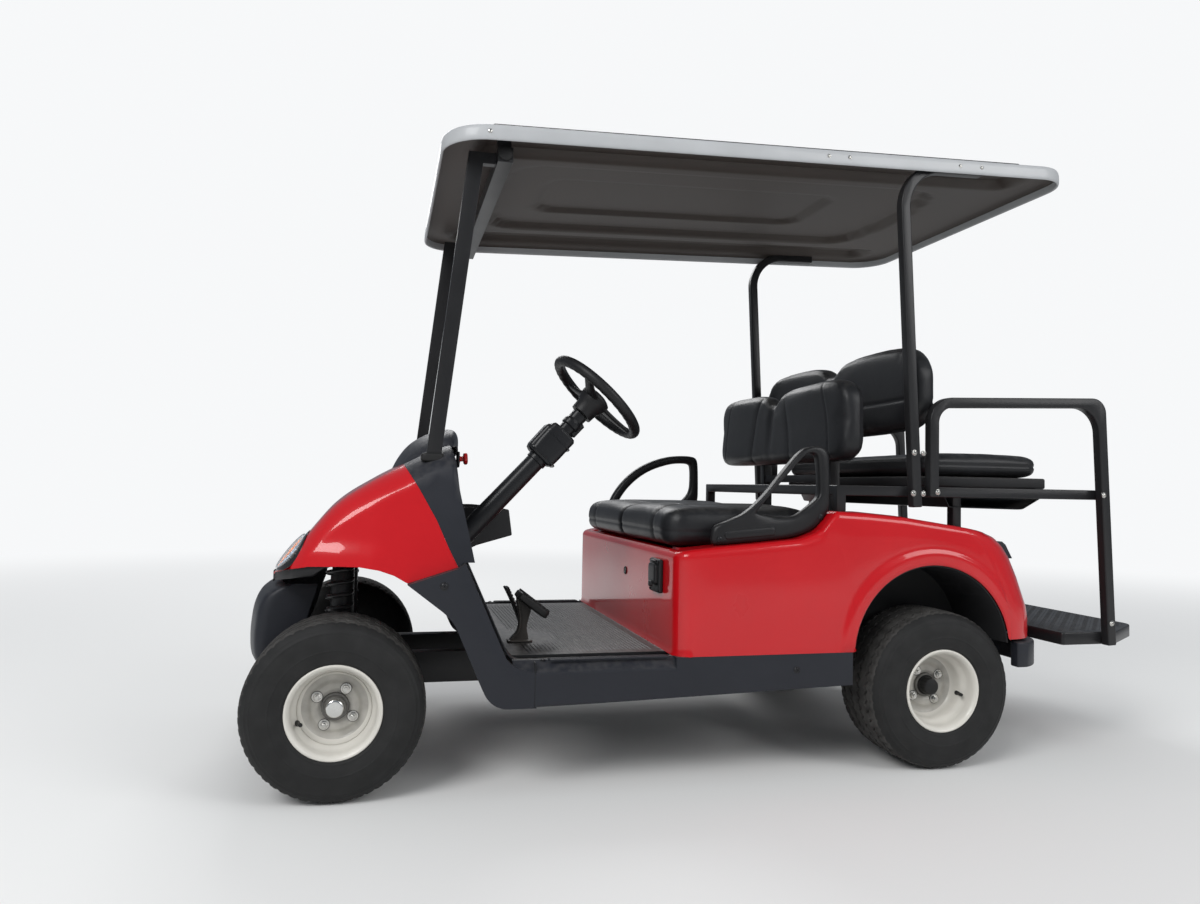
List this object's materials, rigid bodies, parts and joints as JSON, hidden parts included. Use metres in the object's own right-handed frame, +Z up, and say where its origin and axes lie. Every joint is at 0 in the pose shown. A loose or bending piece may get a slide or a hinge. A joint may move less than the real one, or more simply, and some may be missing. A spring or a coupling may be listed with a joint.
{
  "type": "golf cart",
  "caption": "Electric golf cart with a long roof, a front bench with hip loops, and a rear-facing flip-over seat with grab rails and footplate.",
  "frame": {"origin": "on the ground under the middle of the whole cart", "axes": "+X to the front, +Y to the driver's side, +Z up"},
  "size_m": [2.7699, 1.194, 1.8146],
  "materials": {
    "red_body": "glossy red moulded body",
    "charcoal_plastic": "satin charcoal moulding",
    "black_plastic": "grained black plastic",
    "frame_black": "black chassis paint",
    "kit_black": "black powder coat",
    "seat_vinyl": "grained black vinyl",
    "tyre_rubber": "moulded rubber",
    "wheel_white": "off-white wheel paint",
    "roof_white": "pale grey edge",
    "roof_black": "moulded roof skin",
    "lamp_lens": "clear lens",
    "tail_lens": "red lens",
    "bare_steel": "plated steel",
    "mat_rubber": "ribbed rubber"
  },
  "bodies": {
    "cart": {"chassis_frame": "frame_black", "floor_pan": "charcoal_plastic", "floor_mat": "mat_rubber", "rocker_left": "charcoal_plastic", "rocker_right": "charcoal_plastic", "front_cowl": "red_body", "headlights": "lamp_lens", "dash_housing": "charcoal_plastic", "dash_bin": "black_plastic", "front_bumper": "charcoal_plastic", "rear_body": "red_body", "wheel_liners": "black_plastic", "bag_well": "black_plastic", "charger_receptacle": "black_plastic", "rear_bumper": "charcoal_plastic", "tail_lamps": "tail_lens", "front_backrest": "seat_vinyl", "backrest_frame": "frame_black", "hip_restraints": "black_plastic", "rear_seat_frame": "kit_black", "grab_rails": "kit_black", "footplate": "kit_black", "rear_backrest": "seat_vinyl", "roof_trim": "roof_white", "roof_panel": "roof_black", "rear_roof_struts": "kit_black", "front_roof_frame": "kit_black", "steering_column": "black_plastic", "pedals": "black_plastic", "front_axle": "frame_black", "rear_axle": "frame_black", "leaf_springs": "frame_black", "drive_motor": "frame_black", "battery_pack": "black_plastic"},
    "knuckle_left": {"knuckle_left": "frame_black"},
    "knuckle_right": {"knuckle_right": "frame_black"},
    "tie_rod": {"tie_rod": "bare_steel"},
    "wheel_front_left": {"tyre_front_left": "tyre_rubber", "rim_front_left": "wheel_white"},
    "wheel_front_right": {"tyre_front_right": "tyre_rubber", "rim_front_right": "wheel_white"},
    "wheel_rear_left": {"tyre_rear_left": "tyre_rubber", "rim_rear_left": "wheel_white"},
    "wheel_rear_right": {"tyre_rear_right": "tyre_rubber", "rim_rear_right": "wheel_white"},
    "steering_wheel": {"steering_wheel": "black_plastic"},
    "front_seat": {"seat_cushion": "seat_vinyl"},
    "rear_seat": {"rear_seat_board": "black_plastic", "rear_seat_cushion": "seat_vinyl"}
  },
  "joints": [
    {"name": "front_left_steer", "type": "hinge", "parent": "cart", "child": "knuckle_left", "pos_m": [1.124, 0.352, 0.225], "axis": [0, 0, 1], "range_deg": [-28, 28]},
    {"name": "front_right_steer", "type": "hinge", "parent": "cart", "child": "knuckle_right", "pos_m": [1.124, -0.352, 0.225], "axis": [0, 0, 1], "range_deg": [-30, 30]},
    {"name": "tie_rod_swing", "type": "hinge", "parent": "knuckle_left", "child": "tie_rod", "pos_m": [1.064, 0.352, 0.185], "axis": [0, 0, 1], "range_deg": [-30, 30]},
    {"name": "steering_wheel_turn", "type": "hinge", "parent": "cart", "child": "steering_wheel", "pos_m": [0.419, 0.3, 1.05], "axis": [-0.682, 0, 0.7314], "range_deg": [-360, 360]},
    {"name": "front_left_spin", "type": "hinge", "parent": "knuckle_left", "child": "wheel_front_left", "pos_m": [1.124, 0.451, 0.225], "axis": [0, 1, 0], "continuous": true},
    {"name": "front_right_spin", "type": "hinge", "parent": "knuckle_right", "child": "wheel_front_right", "pos_m": [1.124, -0.451, 0.225], "axis": [0, 1, 0], "continuous": true},
    {"name": "rear_left_spin", "type": "hinge", "parent": "cart", "child": "wheel_rear_left", "pos_m": [-0.545, 0.489, 0.225], "axis": [0, 1, 0], "continuous": true},
    {"name": "rear_right_spin", "type": "hinge", "parent": "cart", "child": "wheel_rear_right", "pos_m": [-0.545, -0.489, 0.225], "axis": [0, 1, 0], "continuous": true},
    {"name": "rear_seat_flip", "type": "hinge", "parent": "cart", "child": "rear_seat", "pos_m": [-0.992, 0, 0.8073], "axis": [0, -1, 0], "range_deg": [0, 180]},
    {"name": "front_seat_lift", "type": "hinge", "parent": "cart", "child": "front_seat", "pos_m": [-0.194, 0, 0.6243], "axis": [0, -1, 0], "range_deg": [0, 48]}
  ],
  "couplings": [
    {"joint": "front_right_steer", "follows": "front_left_steer", "ratio": 1},
    {"joint": "tie_rod_swing", "follows": "front_left_steer", "ratio": -1},
    {"joint": "steering_wheel_turn", "follows": "front_left_steer", "ratio": 12}
  ]
}
